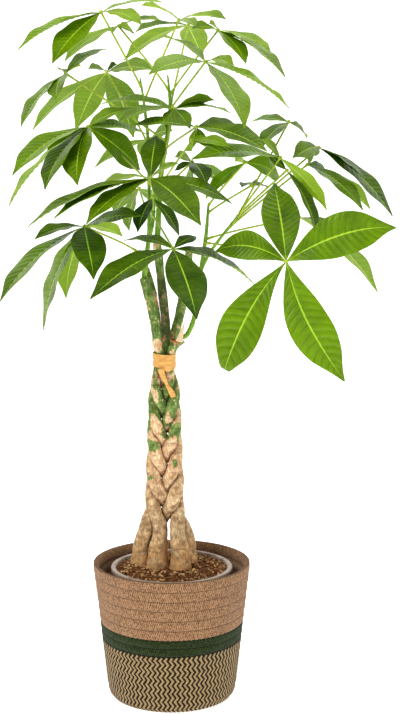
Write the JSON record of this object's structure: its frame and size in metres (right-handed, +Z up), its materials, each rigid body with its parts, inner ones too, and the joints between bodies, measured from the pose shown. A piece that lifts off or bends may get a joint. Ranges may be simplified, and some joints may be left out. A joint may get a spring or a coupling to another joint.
{
  "type": "potted money tree",
  "caption": "House plant with a braided trunk and hand-shaped leaves, in a plastic nursery pot that stands in a two-tone sewn rope basket.",
  "frame": {"origin": "centre of the basket's underside, on the surface that it stands on", "axes": "+Z up along the height of the plant, -Y towards the front, where the largest leaf faces, +X to the right seen from the front"},
  "size_m": [0.4472, 0.4119, 0.8298],
  "materials": {
    "tan_rope": "sewn tan rope, matt",
    "green_rope": "sewn dark green rope, matt",
    "zigzag_rope": "rope wound in two yarns, beige and dark brown zigzag, matt",
    "pot_plastic": "pale grey moulded plastic",
    "soil": "dark potting compost with bark bits",
    "bark": "tan bark with green patches and pale dots",
    "raffia": "light orange raffia strip",
    "shoot_green": "smooth green young stem",
    "leaf_green": "satin green leaf, paler underneath"
  },
  "bodies": {
    "root": {"basket_tan_wall": "tan_rope", "basket_green_band": "green_rope", "basket_zigzag_base": "zigzag_rope", "nursery_pot": "pot_plastic", "potting_soil": "soil", "raffia_tie": "raffia", "stem_front_right": "bark", "stem_middle": "bark", "stem_back_left": "bark", "stem_front_left": "bark", "stem_back_right": "bark", "shoot_left": "shoot_green", "shoot_back": "shoot_green", "shoot_middle": "shoot_green", "shoot_right": "shoot_green", "leaf_top_left": "leaf_green", "leaf_top_back_left": "leaf_green", "leaf_far_left": "leaf_green", "leaf_back_left": "leaf_green", "leaf_front_left": "leaf_green", "leaf_top_front": "leaf_green", "leaf_top_back": "leaf_green", "leaf_crown": "leaf_green", "leaf_top_right": "leaf_green", "leaf_middle": "leaf_green", "leaf_upper_front": "leaf_green", "leaf_young": "leaf_green", "leaf_right": "leaf_green", "leaf_inner_right": "leaf_green", "leaf_right_low": "leaf_green", "leaf_large_front": "leaf_green", "leaf_back_right": "leaf_green", "leaf_low_front": "leaf_green", "leaf_low_left": "leaf_green", "leaf_mid_front": "leaf_green", "leaf_back_low": "leaf_green", "leaf_small_left": "leaf_green", "leaf_inner": "leaf_green", "leaf_back_middle": "leaf_green", "leaf_outer_right": "leaf_green", "leaf_upper_right": "leaf_green", "leaf_right_back": "leaf_green", "leaf_small_right": "leaf_green"}
  },
  "joints": []
}
